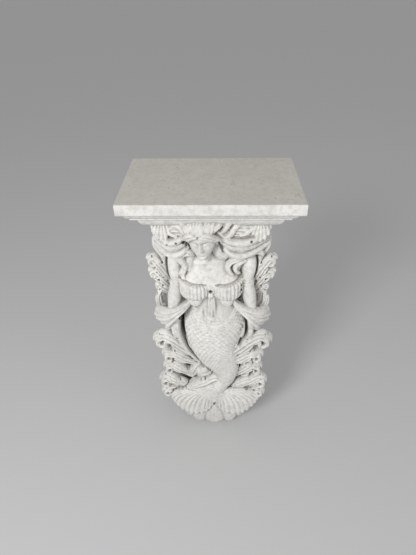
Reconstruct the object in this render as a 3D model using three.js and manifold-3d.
// A wall corbel of cast stone, in one piece: a moulded shelf carried by a mermaid.
// She stands in relief against a block, with wavy hair under the shelf, scallop shells on her breasts,
// a cloth over each forearm, leaves along both sides of the block, and a tail that swings to one side
// and ends in two spread flukes over a scallop shell.
// Millimetres, +Z up, -Y out from the wall. The origin is the middle of the flat back.
import * as THREE from "three";
import { mergeVertices } from "three/addons/utils/BufferGeometryUtils.js";
import Module from "manifold-3d";

const wasm = await Module();
wasm.setup();

// Driving sizes
const corbel = { height: 500 };
// depths under the shelf, at her waist and at her flukes
const block = { width: 154, depth: 112, waist: 84, foot: 74, chamfer: 7 };
const shelf = { overhang: 38, slab: 15.5, eased: 1.2 }; // the slab's overhang past the block, on three sides
const moulding = {
  cove: { overhang: 31, drop: 9, depth: 7 }, // hollow under the slab
  fillet: { overhang: 24, drop: 3.2 }, // flat band
  ovolo: { overhang: 16.5, drop: 18 }, // quarter round down to the block
};
const filletTop = shelf.slab + moulding.cove.drop;
const ovoloTop = filletTop + moulding.fillet.drop;
const mouldingFoot = ovoloTop + moulding.ovolo.drop;

// The carving is given in millimetres for a block 154 wide, 112 deep and 500 high, and stretches with the block.
const stretch = {
  x: block.width / 154,
  out: block.depth / 112,
  down: corbel.height / 500,
};
// x to the right, out from the wall, and down from the shelf's top, all as drawn
const at = (x, out, down) =>
  new THREE.Vector3(
    x * stretch.x,
    -out * stretch.out,
    corbel.height / 2 - down * stretch.down,
  );

const LEFT = -1;
const RIGHT = 1;
const SIDES = [LEFT, RIGHT];
const OUT = new THREE.Vector3(0, 1, 0); // away from the wall, for points given as x, out and down
const lerp = THREE.MathUtils.lerp;
const { cos, sin, PI, abs } = Math;

// Solids

const solidOf = (geometry) => {
  const merged = mergeVertices(geometry, 1e-4);
  return new wasm.Manifold(
    new wasm.Mesh({
      numProp: 3,
      vertProperties: merged.attributes.position.array,
      triVerts: new Uint32Array(merged.index.array),
    }),
  );
};

// Closes a stack of rings, each with as many points, into a solid with its faces out.
function loft(rings) {
  const sides = rings[0].length;
  const points = rings.flat();
  const middle = (ring) =>
    ring.reduce((sum, p) => sum.add(p), new THREE.Vector3()).divideScalar(sides);
  const first = points.push(middle(rings[0])) - 1;
  const last = points.push(middle(rings.at(-1))) - 1;
  const end = (rings.length - 1) * sides;
  const faces = [];
  for (let i = 0; i < sides; i++) {
    const j = (i + 1) % sides;
    faces.push([first, j, i], [last, end + i, end + j]);
    for (let base = 0; base < end; base += sides) {
      const [a, b, c, d] = [base + i, base + j, base + sides + j, base + sides + i];
      faces.push([a, b, c], [a, c, d]);
    }
  }
  const volume = faces.reduce(
    (sum, [a, b, c]) =>
      sum + points[a].dot(new THREE.Vector3().crossVectors(points[b], points[c])),
    0,
  );
  if (volume < 0) faces.forEach((face) => face.reverse());
  return solidOf(
    new THREE.BufferGeometry().setFromPoints(points).setIndex(faces.flat()),
  );
}

const smooth = (points) => new THREE.CatmullRomCurve3(points, false, "catmullrom");

const mirrored = (stations, side) =>
  stations.map(([x, ...rest]) => [x * side, ...rest]);

// Sweeps a section along a smooth spine. A station is [x, out, down, half width, half thickness].
// A section is a closed list of [across, outward] points, and lobes scallop its width along the way.
function sweep(stations, section, steps, { lobes = 0, notch = 0 } = {}) {
  const spine = smooth(stations.map(([x, out, down]) => new THREE.Vector3(x, out, down)));
  const girth = smooth(stations.map(([, , , a, b]) => new THREE.Vector3(a, b, 0)));
  const rings = [];
  for (let i = 0; i <= steps; i++) {
    const t = i / steps;
    const along = spine.getTangent(t);
    const across = new THREE.Vector3().crossVectors(along, OUT).normalize();
    const outward = new THREE.Vector3().crossVectors(across, along).normalize();
    const { x: half, y: thick } = girth.getPoint(t);
    const scallop = 1 - notch * 0.5 * (1 + cos(2 * PI * lobes * t));
    rings.push(
      section.map(([u, v]) => {
        const p = spine
          .getPoint(t)
          .addScaledVector(across, u * half * (abs(u) > 0.9 ? scallop : 1))
          .addScaledVector(outward, v * thick);
        return at(p.x, p.y, p.z);
      }),
    );
  }
  return loft(rings);
}

// Sections

const round = (sides) =>
  Array.from({ length: sides }, (_, i) => {
    const a = (2 * PI * (i + 0.5)) / sides;
    return [cos(a), sin(a)];
  });

// A lock of hair: a groove between two strands
const LOCK = [
  [-1, -0.5],
  [-0.6, 0.8],
  [0, 0.35],
  [0.6, 0.8],
  [1, -0.5],
];

// A leaf: a raised midrib, hollows beside it and a rolled edge, on a thick base
const LEAF = [
  [-1, -0.2],
  [-0.6, 0.7],
  [0, 0.45],
  [0.6, 0.7],
  [1, -0.2],
  [0, -1],
];

// A fan of ribs seen end on, from -1 to 1, with a thick base
function ribbed(ribs, relief) {
  const crests = Array.from({ length: 2 * ribs + 1 }, (_, i) => {
    const u = (i / ribs) - 1;
    return [u, (i % 2 ? relief : 0) + (1 - relief) * cos(u * 1.1)];
  });
  return [...crests, [0.8, -1], [-0.8, -1]];
}

// The shelf: a stack of rectangles against the wall, each [drop from the top, overhang past the block]

function shelfAndMoulding() {
  const { cove, fillet, ovolo } = moulding;
  const tuck = 0.01 * block.depth; // the quarter round ends inside the block
  const arc = [0.25, 0.5, 0.75, 1].map((t) => (t * PI) / 2);
  const profile = [
    [0, shelf.overhang - shelf.eased],
    [shelf.eased, shelf.overhang],
    [shelf.slab, shelf.overhang],
    [shelf.slab, cove.overhang],
    ...arc.map((a) => [
      shelf.slab + cove.drop * sin(a),
      cove.overhang - cove.depth * (1 - cos(a)),
    ]),
    [ovoloTop, fillet.overhang],
    [ovoloTop, ovolo.overhang],
    ...arc.map((a) => [
      lerp(ovoloTop, mouldingFoot, sin(a)),
      (ovolo.overhang + tuck) * cos(a) - tuck,
    ]),
  ];
  const rings = profile.map(([drop, overhang]) => {
    const half = block.width / 2 + overhang;
    const out = block.depth + overhang;
    const z = corbel.height / 2 - drop;
    return [
      new THREE.Vector3(-half, 0, z),
      new THREE.Vector3(-half, -out, z),
      new THREE.Vector3(half, -out, z),
      new THREE.Vector3(half, 0, z),
    ];
  });
  return loft(rings);
}

// The block: rings on the wall, each [down, out, half width], with the front edges taken off

function ground() {
  const half = block.width / 2;
  const { chamfer } = block;
  const under = (share) => share * corbel.height;
  const rings = [
    [shelf.slab, 0.965 * block.depth, half],
    [under(0.17), 0.945 * block.depth, half],
    [under(0.28), lerp(block.waist, block.depth, 0.15), half],
    [under(0.36), block.waist, half],
    [under(0.66), block.waist, half],
    [under(0.77), block.foot, 0.96 * half],
    [under(0.85), 0.86 * block.foot, 0.8 * half],
    [under(0.91), 0.67 * block.foot, 0.56 * half],
    [under(0.95), 0.46 * block.foot, 0.35 * half],
  ];
  return loft(
    rings.map(([down, out, wide]) =>
      [
        [-wide, 0],
        [-wide, out - chamfer],
        [chamfer - wide, out],
        [wide - chamfer, out],
        [wide, out - chamfer],
        [wide, 0],
      ].map(([x, y]) => new THREE.Vector3(x, -y, corbel.height / 2 - down)),
    ),
  );
}

// The figure, [x, out, down, half width, half thickness]

const BODY = [
  [-11, 104, 80, 10, 10],
  [-9, 101, 95, 10.5, 10.5],
  [-6, 98, 104, 26, 12],
  [-2, 97, 112, 43, 16],
  [-1, 100, 126, 43, 20],
  [-1, 102, 142, 40, 22],
  [-1, 100, 158, 36, 20],
  [1, 97, 178, 34, 17],
  [4, 96, 194, 36, 18],
  [5, 96, 214, 43, 20],
];
const TAIL = [
  [4.5, 96, 182, 39, 22],
  [5, 96, 200, 44, 24],
  [4.5, 97, 220, 49, 25.5],
  [2, 98, 242, 46.5, 26.5],
  [1, 98, 266, 40, 25.5],
  [6, 98, 290, 33, 23],
  [16, 97, 314, 26.5, 20],
  [23, 96, 334, 21, 17.5],
  [22, 95, 353, 16, 15.5],
  [13, 94, 371, 14, 14],
  [4, 94, 387, 16, 12],
  [2, 96, 400, 24, 9],
  [1, 98, 410, 30, 5],
];

// The tail's skin stands a little proud of the belly, and dips under the navel.
function tail() {
  const dip = { drop: 34, fades: 3 };
  const sides = 12;
  const stack = 13;
  const spine = smooth(TAIL.map(([x, out, down]) => new THREE.Vector3(x, out, down)));
  const girth = smooth(TAIL.map(([, , , a, b]) => new THREE.Vector3(a, b, 0)));
  const rings = [];
  for (let i = 0; i < stack; i++) {
    const t = i / (stack - 1);
    const { x, y: out, z: down } = spine.getPoint(t);
    const { x: half, y: thick } = girth.getPoint(t);
    const turn = spine.getTangent(t);
    const lean = turn.x / Math.max(turn.z, 0.5);
    const fade = Math.max(0, 1 - i / dip.fades);
    rings.push(
      round(sides).map(([u, v]) => {
        const front = v > 0 ? 1 - abs(u - 0.1) ** 3 : 0;
        return at(
          x + u * half,
          out + v * thick,
          down - u * half * lean * 0.8 + dip.drop * fade * front,
        );
      }),
    );
  }
  return loft(rings);
}

const arm = (side) =>
  sweep(
    mirrored(
      [
        [44, 97, 100, 8, 8],
        [51, 100, 105, 12, 12],
        [52, 104, 121, 10.5, 11.5],
        [50.5, 106, 139, 8.8, 10],
        [54, 109, 164, 10, 10.5],
        [58, 111, 188, 7.5, 8],
        [59, 112, 206, 7, 7],
        [57, 112, 222, 8.5, 6],
        [53, 111, 238, 6, 4.5],
      ],
      side,
    ),
    round(8),
    7,
  );

const armlet = (side) =>
  sweep(
    mirrored(
      [
        [50.8, 106, 136, 9.6, 10.6],
        [50.8, 106, 139, 10.6, 11.6],
        [50.8, 106, 142, 9.6, 10.6],
      ],
      side,
    ),
    round(8),
    2,
  );

const thumb = (side) =>
  sweep(
    mirrored(
      [
        [54, 115, 216, 3, 3],
        [49, 116, 224, 3.6, 3.6],
        [47, 114, 231, 2.5, 2.5],
      ],
      side,
    ),
    round(5),
    3,
  );

// A breast, and the fluted shell that covers its lower half. The shell's rim slopes down to the middle.

// [x, out, down, half width, half thickness, half height]
const BREAST = [23.5, 111, 142, 17.5, 17, 17.5];
// how many times the breast's size the shell is, and its flutes
const cup = { larger: 1.18, flutes: 8, relief: 0.06, rim: 0.16, slope: 0.17 };

function breastForm(side) {
  const [x, out, down, wide, deep, tall] = BREAST;
  const heights = [-0.3, 0.1, 0.45, 0.75, 0.97];
  return loft(
    heights.map((h) => {
      const r = Math.sqrt(1 - h * h);
      return round(10).map(([u, v]) =>
        at(side * x + u * wide * r, out - 5 * h + v * deep * r, down - h * tall * 1.1),
      );
    }),
  );
}

function shellCup(side) {
  const [x, out, down, wide, deep, tall] = BREAST;
  const sides = 2 * cup.flutes + 6;
  const heights = [-0.96, -0.6, cup.rim];
  const rings = heights.map((h) =>
    Array.from({ length: sides }, (_, i) => {
      const a = (2 * PI * i) / sides;
      const flute = 1 + cup.relief * (i % 2 ? 1 : -1) * (0.4 + 0.6 * (h + 1));
      const r = Math.sqrt(1 - 0.8 * abs(h) ** 4) * flute;
      const dx = cos(a) * wide * cup.larger * r;
      return at(
        side * (x + dx),
        out + sin(a) * deep * cup.larger * r,
        down - h * tall * cup.larger - dx * cup.slope * (h + 1),
      );
    }),
  );
  return loft(rings);
}

// Two swags of cloth under each cup, and a small shell between the two with a fold below it

const swags = (side) =>
  [0, 1].map((i) => {
    const [x] = BREAST;
    const reach = 16 - 3 * i;
    const drop = 165 + 6 * i;
    return sweep(
      mirrored(
        [
          [x - reach, 117 - 2 * i, drop - 3, 1.5, 2],
          [x, 124 - 3 * i, drop + 2, 3.4, 4.5],
          [x + reach, 113 - 2 * i, drop - 3, 1.5, 2],
        ],
        side,
      ),
      round(5),
      4,
    );
  });

const clasp = () =>
  sweep(
    [
      [-1, 121, 147, 3, 3],
      [-1, 123, 154, 5.5, 4.5],
      [-0.5, 118, 166, 3, 4],
      [0, 114, 186, 2.5, 3],
    ],
    LOCK,
    6,
  );

// The head, set up round its own centre, bowed, and leaning to the left

const head = {
  centre: [-12, 112, 66],
  bowed: THREE.MathUtils.degToRad(10),
  turned: THREE.MathUtils.degToRad(-9),
  leant: THREE.MathUtils.degToRad(5),
};

// up from the chin to the crown: [height, half width, how far the face and the nape stand from the axis]
const SKULL = [
  [-26, 5, 15.5, 2],
  [-23, 9, 18.5, 6],
  [-16, 13.5, 19, 12],
  [-7, 17.5, 18.5, 18],
  [2, 18.6, 17, 22],
  [8, 18.4, 20, 23],
  [17, 16.5, 17.5, 22],
  [26, 9, 9, 12],
];

const headPose = () =>
  new THREE.Matrix4().makeRotationFromEuler(
    new THREE.Euler(head.bowed, -head.leant, head.turned, "ZYX"),
  );

// A point of the head: across, forward and up from its centre
function onHead(pose, across, forward, up) {
  const p = new THREE.Vector3(across, -forward, up).applyMatrix4(pose);
  const [x, out, down] = head.centre;
  return at(x + p.x, out - p.y, down - p.z);
}

function skull() {
  const pose = headPose();
  const sides = 12;
  const rings = SKULL.map(([up, half, face, nape]) =>
    Array.from({ length: sides }, (_, i) => {
      const a = (2 * PI * i) / sides;
      const fore = cos(a);
      return onHead(
        pose,
        half * Math.sign(sin(a)) * abs(sin(a)) ** 0.85,
        fore > 0 ? face * fore ** 0.75 : nape * fore,
        up,
      );
    }),
  );
  return loft(rings);
}

// The nose, the closed lids and the lips, each [across, forward, up, half width, half thickness]
function features() {
  const pose = headPose();
  const form = (stations, sides = 5) =>
    loft(
      stations.map(([across, forward, up, half, thick]) =>
        round(sides).map(([u, v]) =>
          onHead(pose, across + u * half, forward + v * thick, up),
        ),
      ),
    );
  const nose = form([
    [0, 17, 7, 2.6, 2],
    [0, 19.5, 1, 2.2, 2.6],
    [0, 21.5, -5, 3, 3.2],
    [0, 20, -8.5, 4, 3],
    [0, 18, -9.5, 2.5, 1.5],
  ]);
  const lips = form([
    [0, 18.4, -12, 3, 1.4],
    [0, 19, -13.6, 5.4, 2],
    [0, 18.4, -15.2, 4, 2.2],
    [0, 17.8, -17, 2.4, 1.4],
  ]);
  const lids = SIDES.map((side) =>
    form([
      [side * 7.6, 13.8, 3.6, 3.4, 1.6],
      [side * 7.6, 14.8, 1.4, 5, 2.6],
      [side * 7.6, 14.4, -1, 3.6, 1.8],
    ]),
  );
  return [nose, lips, ...lids];
}

// Hair: bundles of locks, spread evenly between a first and a last one

function bundle(first, last, count, steps = 8) {
  return Array.from({ length: count }, (_, i) => {
    const t = count > 1 ? i / (count - 1) : 0;
    return sweep(
      first.map((station, n) => station.map((v, k) => lerp(v, last[n][k], t))),
      LOCK,
      steps,
    );
  });
}

function hair() {
  return [
    // swept back from the parting, over the brow, to the left and the right
    ...bundle(
      [
        [-14, 130, 43, 4, 3],
        [-27, 129, 45, 5, 4.5],
        [-35, 122, 54, 5, 5],
        [-40, 116, 68, 4, 5],
      ],
      [
        [-12, 121, 31, 5, 4],
        [-28, 121, 32, 6, 5],
        [-40, 117, 40, 7, 6],
        [-52, 110, 52, 5, 5],
      ],
      3,
      4,
    ),
    ...bundle(
      [
        [-18, 130, 43, 4, 3],
        [-6, 131, 45, 5, 4.5],
        [3, 125, 53, 5, 5],
        [8, 118, 68, 4, 5],
      ],
      [
        [-19, 121, 31, 5, 4],
        [0, 122, 32, 6, 5],
        [14, 117, 40, 7, 6],
        [26, 110, 52, 5, 5],
      ],
      3,
      4,
    ),
    // the left mass hangs like a hammock from the temple to the block's edge
    ...bundle(
      [
        [-30, 113, 60, 5, 6],
        [-46, 116, 68, 6, 7],
        [-62, 111, 69, 6, 7],
        [-78, 97, 62, 5, 6],
      ],
      [
        [-30, 114, 78, 5, 6],
        [-45, 118, 91, 6, 7],
        [-61, 112, 90, 6, 7],
        [-77, 98, 78, 5, 6],
      ],
      3,
      5,
    ),
    // the right mass
    ...bundle(
      [
        [10, 114, 60, 5, 6],
        [28, 118, 66, 6, 7],
        [50, 114, 70, 6, 7],
        [79, 98, 62, 5, 6],
      ],
      [
        [12, 114, 80, 5, 6],
        [30, 119, 92, 6, 7],
        [54, 113, 88, 6, 7],
        [79, 98, 78, 5, 6],
      ],
      3,
      5,
    ),
    // a lock over each shoulder, down to the breast
    sweep(
      [
        [-25, 112, 82, 3, 4],
        [-36, 115, 85, 6, 6],
        [-43, 114, 95, 6, 6],
        [-34, 114, 108, 4.5, 5],
        [-39, 115, 120, 4, 5],
        [-34, 117, 133, 2, 2.5],
      ],
      LOCK,
      7,
    ),
    sweep(
      [
        [40, 113, 88, 5, 5],
        [26, 116, 97, 6, 5],
        [21, 116, 109, 5.5, 5],
        [26, 117, 120, 4.5, 4],
        [34, 116, 125, 2, 2.5],
      ],
      LOCK,
      7,
    ),
    // one behind each arm
    ...SIDES.map((side) =>
      sweep(
        mirrored(
          [
            [77, 96, 76, 5, 6],
            [74, 97, 88, 6, 7],
            [66, 98, 99, 6, 7],
            [62, 97, 112, 4, 5],
          ],
          side,
        ),
        LOCK,
        4,
      ),
    ),
    // curls beside the crown
    sweep(
      [
        [-32, 112, 34, 4, 5],
        [-40, 119, 36, 7, 6],
        [-46, 120, 47, 6, 6],
        [-58, 112, 54, 4, 4],
      ],
      LOCK,
      6,
    ),
    sweep(
      [
        [18, 114, 52, 4, 5],
        [25, 121, 43, 7, 6],
        [36, 120, 36, 7, 6],
        [44, 113, 46, 4, 4],
      ],
      LOCK,
      6,
    ),
  ];
}

// Ornament at the block's edges, drawn for the right side and mirrored

// A fluted leaf hangs under each corner of the shelf.
const cornerLeaf = (side) =>
  sweep(
    mirrored(
      [
        [64, 104, 34, 10, 6],
        [65, 110, 44, 10.5, 7],
        [66, 116, 54, 9.5, 7],
        [67, 120, 62, 6.5, 5],
        [67, 117, 68, 3, 3],
      ],
      side,
    ),
    ribbed(3, 0.5),
    4,
  );

// Each leaf: its spine from root to tip, and how many lobes its edge has
const LEAVES = [
  // cluster beside the shoulder
  [
    [
      [54, 88, 156, 4, 5.2],
      [63, 95, 139, 8, 7.4],
      [72, 99, 121, 10, 8.1],
      [81, 98, 109, 9, 6.7],
      [88, 95, 108, 6, 5.2],
      [89, 92, 116, 3, 3],
    ],
    4,
  ],
  [
    [
      [54, 86, 168, 4, 5.2],
      [66, 93, 153, 8, 7.4],
      [77, 96, 138, 9.5, 7.4],
      [86, 94, 131, 7, 5.9],
      [89, 91, 137, 3, 3.7],
    ],
    3,
  ],
  [
    [
      [52, 82, 180, 4, 5.2],
      [66, 88, 170, 7, 6.7],
      [77, 91, 160, 7, 5.9],
      [83, 88, 158, 4, 4.4],
    ],
    3,
  ],
  // scroll beside the forearm
  [
    [
      [62, 84, 160, 3, 4.4],
      [72, 90, 164, 5, 5.9],
      [80, 93, 176, 6, 5.9],
      [80, 93, 190, 6, 5.9],
      [73, 94, 199, 3, 3.7],
    ],
    2,
  ],
  // the great leaf beside the hip, curled outward
  [
    [
      [-1, 89, 326, 5, 5.9],
      [25, 96, 299, 10, 8.1],
      [47, 102, 274, 14, 8.9],
      [64, 104, 256, 14, 8.9],
      [78, 101, 252, 12, 8.1],
      [88, 96, 262, 9, 6.7],
      [84, 93, 276, 4, 4.4],
    ],
    4,
  ],
  // three below it
  [
    [
      [9, 88, 336, 4, 5.9],
      [27, 94, 318, 8, 7.4],
      [46, 100, 303, 11, 8.1],
      [62, 100, 293, 12, 8.1],
      [76, 95, 297, 9, 6.7],
      [77, 92, 309, 4, 4.4],
    ],
    3,
  ],
  [
    [
      [26, 85, 364, 4, 5.9],
      [40, 91, 346, 8, 7.4],
      [54, 97, 330, 11, 8.1],
      [67, 96, 322, 11, 7.4],
      [77, 92, 329, 8, 5.9],
      [76, 90, 341, 4, 3.7],
    ],
    3,
  ],
  [
    [
      [36, 84, 392, 4, 5.9],
      [52, 90, 375, 8, 7.4],
      [67, 95, 360, 11, 8.1],
      [79, 93, 355, 11, 7.4],
      [87, 90, 366, 8, 5.9],
      [84, 88, 378, 4, 3.7],
    ],
    3,
  ],
  // curl at the foot
  [
    [
      [52, 60, 402, 5, 6.5],
      [67, 78, 392, 8, 8],
      [80, 88, 391, 8, 6.7],
      [86, 86, 401, 7, 5.9],
      [79, 85, 411, 3, 4.4],
    ],
    2,
  ],
];

const leaves = (side) =>
  LEAVES.map(([spine, lobes]) =>
    sweep(mirrored(spine, side), LEAF, 5, { lobes, notch: 0.14 }),
  );

// A smooth stem runs down from each hand beside the tail, longer on the left.
const stems = () => [
  sweep(
    [
      [-55, 106, 232, 6, 6],
      [-49, 105, 254, 6, 7],
      [-36, 102, 284, 6, 7],
      [-18, 98, 314, 3, 5],
    ],
    round(6),
    4,
  ),
  sweep(
    [
      [57, 106, 234, 6, 6],
      [56, 104, 252, 6.5, 7],
      [44, 97, 288, 4, 5],
    ],
    round(6),
    4,
  ),
];

// A small leaf fills the corner between the stem and the side fin.
const innerLeaf = () =>
  sweep(
    [
      [-34, 90, 350, 8, 7],
      [-22, 95, 342, 10, 8],
      [-10, 97, 334, 9, 8],
      [-2, 95, 332, 5, 5],
    ],
    LEAF,
    3,
    { lobes: 2, notch: 0.2 },
  );

// The cloth over a forearm: a band from the waist that opens into folds at the block's edge
const FOLDS = [
  [-1, -0.6],
  [-0.9, 0.55],
  [-0.55, 0.35],
  [-0.25, 0.95],
  [0.15, 0.5],
  [0.45, 0.9],
  [0.7, 0.35],
  [1, 0.2],
  [0.6, -1],
  [-0.6, -1],
];
const cloth = (side) =>
  sweep(
    mirrored(
      [
        [30, 108, 171, 4, 5],
        [42, 115, 180, 8, 8],
        [57, 119, 190, 11, 9],
        [71, 113, 201, 14, 10],
        [79, 102, 207, 13, 9],
        [80, 90, 206, 8, 6],
      ],
      side,
    ),
    FOLDS,
    5,
  );

// The small fin on the inside of the tail's turn
const sideFin = () =>
  sweep(
    [
      [12, 92, 366, 12, 6],
      [-4, 98, 364, 12, 6],
      [-22, 100, 368, 9, 5],
      [-38, 99, 376, 5, 3.5],
      [-46, 97, 381, 1, 1.5],
    ],
    LEAF,
    5,
  );

// A fluke is a fan of ribs from the tail's end, out and over and down to a scalloped edge.
const fluke = {
  ribs: 7,
  root: [3, 98, 388],
  rim: [
    [-18, 96, 384],
    [-48, 97, 380],
    [-68, 96, 388],
    [-77, 95, 404],
    [-72, 98, 424],
    [-58, 101, 442],
    [-42, 102, 452],
    [-20, 103, 444],
    [-2, 104, 424],
  ],
};

function flukeFan(side) {
  const rim = new THREE.CatmullRomCurve3(
    fluke.rim.map(([x, out, down]) => new THREE.Vector3(x, out, down)),
  );
  const [rootX, rootOut, rootDown] = fluke.root;
  const count = 2 * fluke.ribs + 1;
  const stages = [0.1, 0.4, 0.75, 1];
  const thick = 13;
  const rings = stages.map((t) => {
    const front = Array.from({ length: count }, (_, i) => {
      const s = i / (count - 1);
      const edge = rim.getPoint(s);
      const crest = i % 2 ? 1.2 : -0.8;
      const bulge = sin(t * PI) * 5 * (1 - s);
      const x = lerp(0, edge.x, t);
      return at(
        rootX + x * -side,
        lerp(rootOut, edge.y, t) + crest * t + 2 * sin(t * PI),
        lerp(rootDown, edge.z, t) - bulge + (i % 2 ? 2.5 * (t > 0.9) : 0),
      );
    });
    const back = [0.9, 0.5, 0.1].map((s) => {
      const edge = rim.getPoint(s);
      return at(
        rootX + lerp(0, edge.x * 0.9, t) * -side,
        lerp(rootOut, edge.y, t) - thick * (0.4 + 0.6 * t),
        lerp(rootDown, lerp(rootDown, edge.z, 0.9), t),
      );
    });
    return [...front, ...back];
  });
  return loft(rings);
}

// The scallop shell under the flukes: ribs that run out from the wall and turn down to a lobed rim
// From its root to its rim, each [down, out, half width, how far the underside stands from the wall]
const FOOT = [
  [422, 98, 22, 40],
  [468, 93, 53, 33],
  [500.4, 82, 62, 28],
];
const footShares = { lobes: [0.26, 0.55, 0.84], groove: 0.08, underside: 0.82 };

function footShell() {
  // shares across, and whether each is on a lobe's crest or between two lobes
  const [a, b, c] = footShares.lobes;
  const rightHalf = [
    [a / 2, true],
    [a, false],
    [(a + b) / 2, true],
    [b, false],
    [(b + c) / 2, true],
    [c, false],
    [1, true],
  ];
  const across = [...rightHalf.map(([u, crest]) => [-u, crest]).reverse(), ...rightHalf];
  const fall = (u) => 1 - 0.33 * u ** 2 - 0.4 * u ** 6;
  const [[top]] = FOOT;
  const rings = FOOT.map(([down, out, half, under]) => {
    const front = across.map(([u, crest]) =>
      at(
        2 + u * half,
        out + (crest ? 2.5 : 0),
        lerp(top, down, fall(u) - (crest ? 0 : footShares.groove)),
      ),
    );
    const back = [0.5, 0, -0.5].map((u) =>
      at(2 + u * half, under, lerp(top, down, fall(u) * footShares.underside)),
    );
    return [...front, ...back];
  });
  return loft(rings);
}

// One casting

const forms = [
  shelfAndMoulding(),
  ground(),
  sweep(BODY, round(10), 9),
  tail(),
  skull(),
  ...features(),
  ...hair(),
  clasp(),
  ...stems(),
  innerLeaf(),
  sideFin(),
  footShell(),
  ...SIDES.flatMap((side) => [
    arm(side),
    armlet(side),
    thumb(side),
    breastForm(side),
    shellCup(side),
    ...swags(side),
    cornerLeaf(side),
    ...leaves(side),
    cloth(side),
    flukeFan(side),
  ]),
];
const whole = wasm.Manifold.union(forms);

// Joined forms can seal a pocket between them, and the casting is solid there:
// each closed surface that faces inward is left out.
function withoutPockets({ vertProperties, triVerts }) {
  const corner = (i) => new THREE.Vector3().fromArray(vertProperties, 3 * i);
  const group = Array.from({ length: vertProperties.length / 3 }, (_, i) => i);
  const groupOf = (i) => {
    while (group[i] !== i) i = group[i] = group[group[i]];
    return i;
  };
  for (let i = 0; i < triVerts.length; i += 3) {
    group[groupOf(triVerts[i])] = groupOf(triVerts[i + 1]);
    group[groupOf(triVerts[i + 1])] = groupOf(triVerts[i + 2]);
  }
  const volume = new Map();
  for (let i = 0; i < triVerts.length; i += 3) {
    const [a, b, c] = [0, 1, 2].map((k) => corner(triVerts[i + k]));
    const key = groupOf(triVerts[i]);
    volume.set(key, (volume.get(key) ?? 0) + a.dot(b.cross(c)));
  }
  return triVerts.filter((_, i) => volume.get(groupOf(triVerts[i])) > 0);
}

const cast = whole.getMesh();
const geometry = new THREE.BufferGeometry()
  .setAttribute("position", new THREE.BufferAttribute(cast.vertProperties, 3))
  .setIndex(new THREE.BufferAttribute(withoutPockets(cast), 1))
  .toNonIndexed();
geometry.computeVertexNormals();

const stone = new THREE.MeshStandardMaterial({
  color: 0xd9d8d3,
  roughness: 0.85,
  metalness: 0,
});

const part = new THREE.Group();
const mermaidCorbel = new THREE.Mesh(geometry, stone);
mermaidCorbel.name = "mermaid_corbel";
part.add(mermaidCorbel);
export default part;
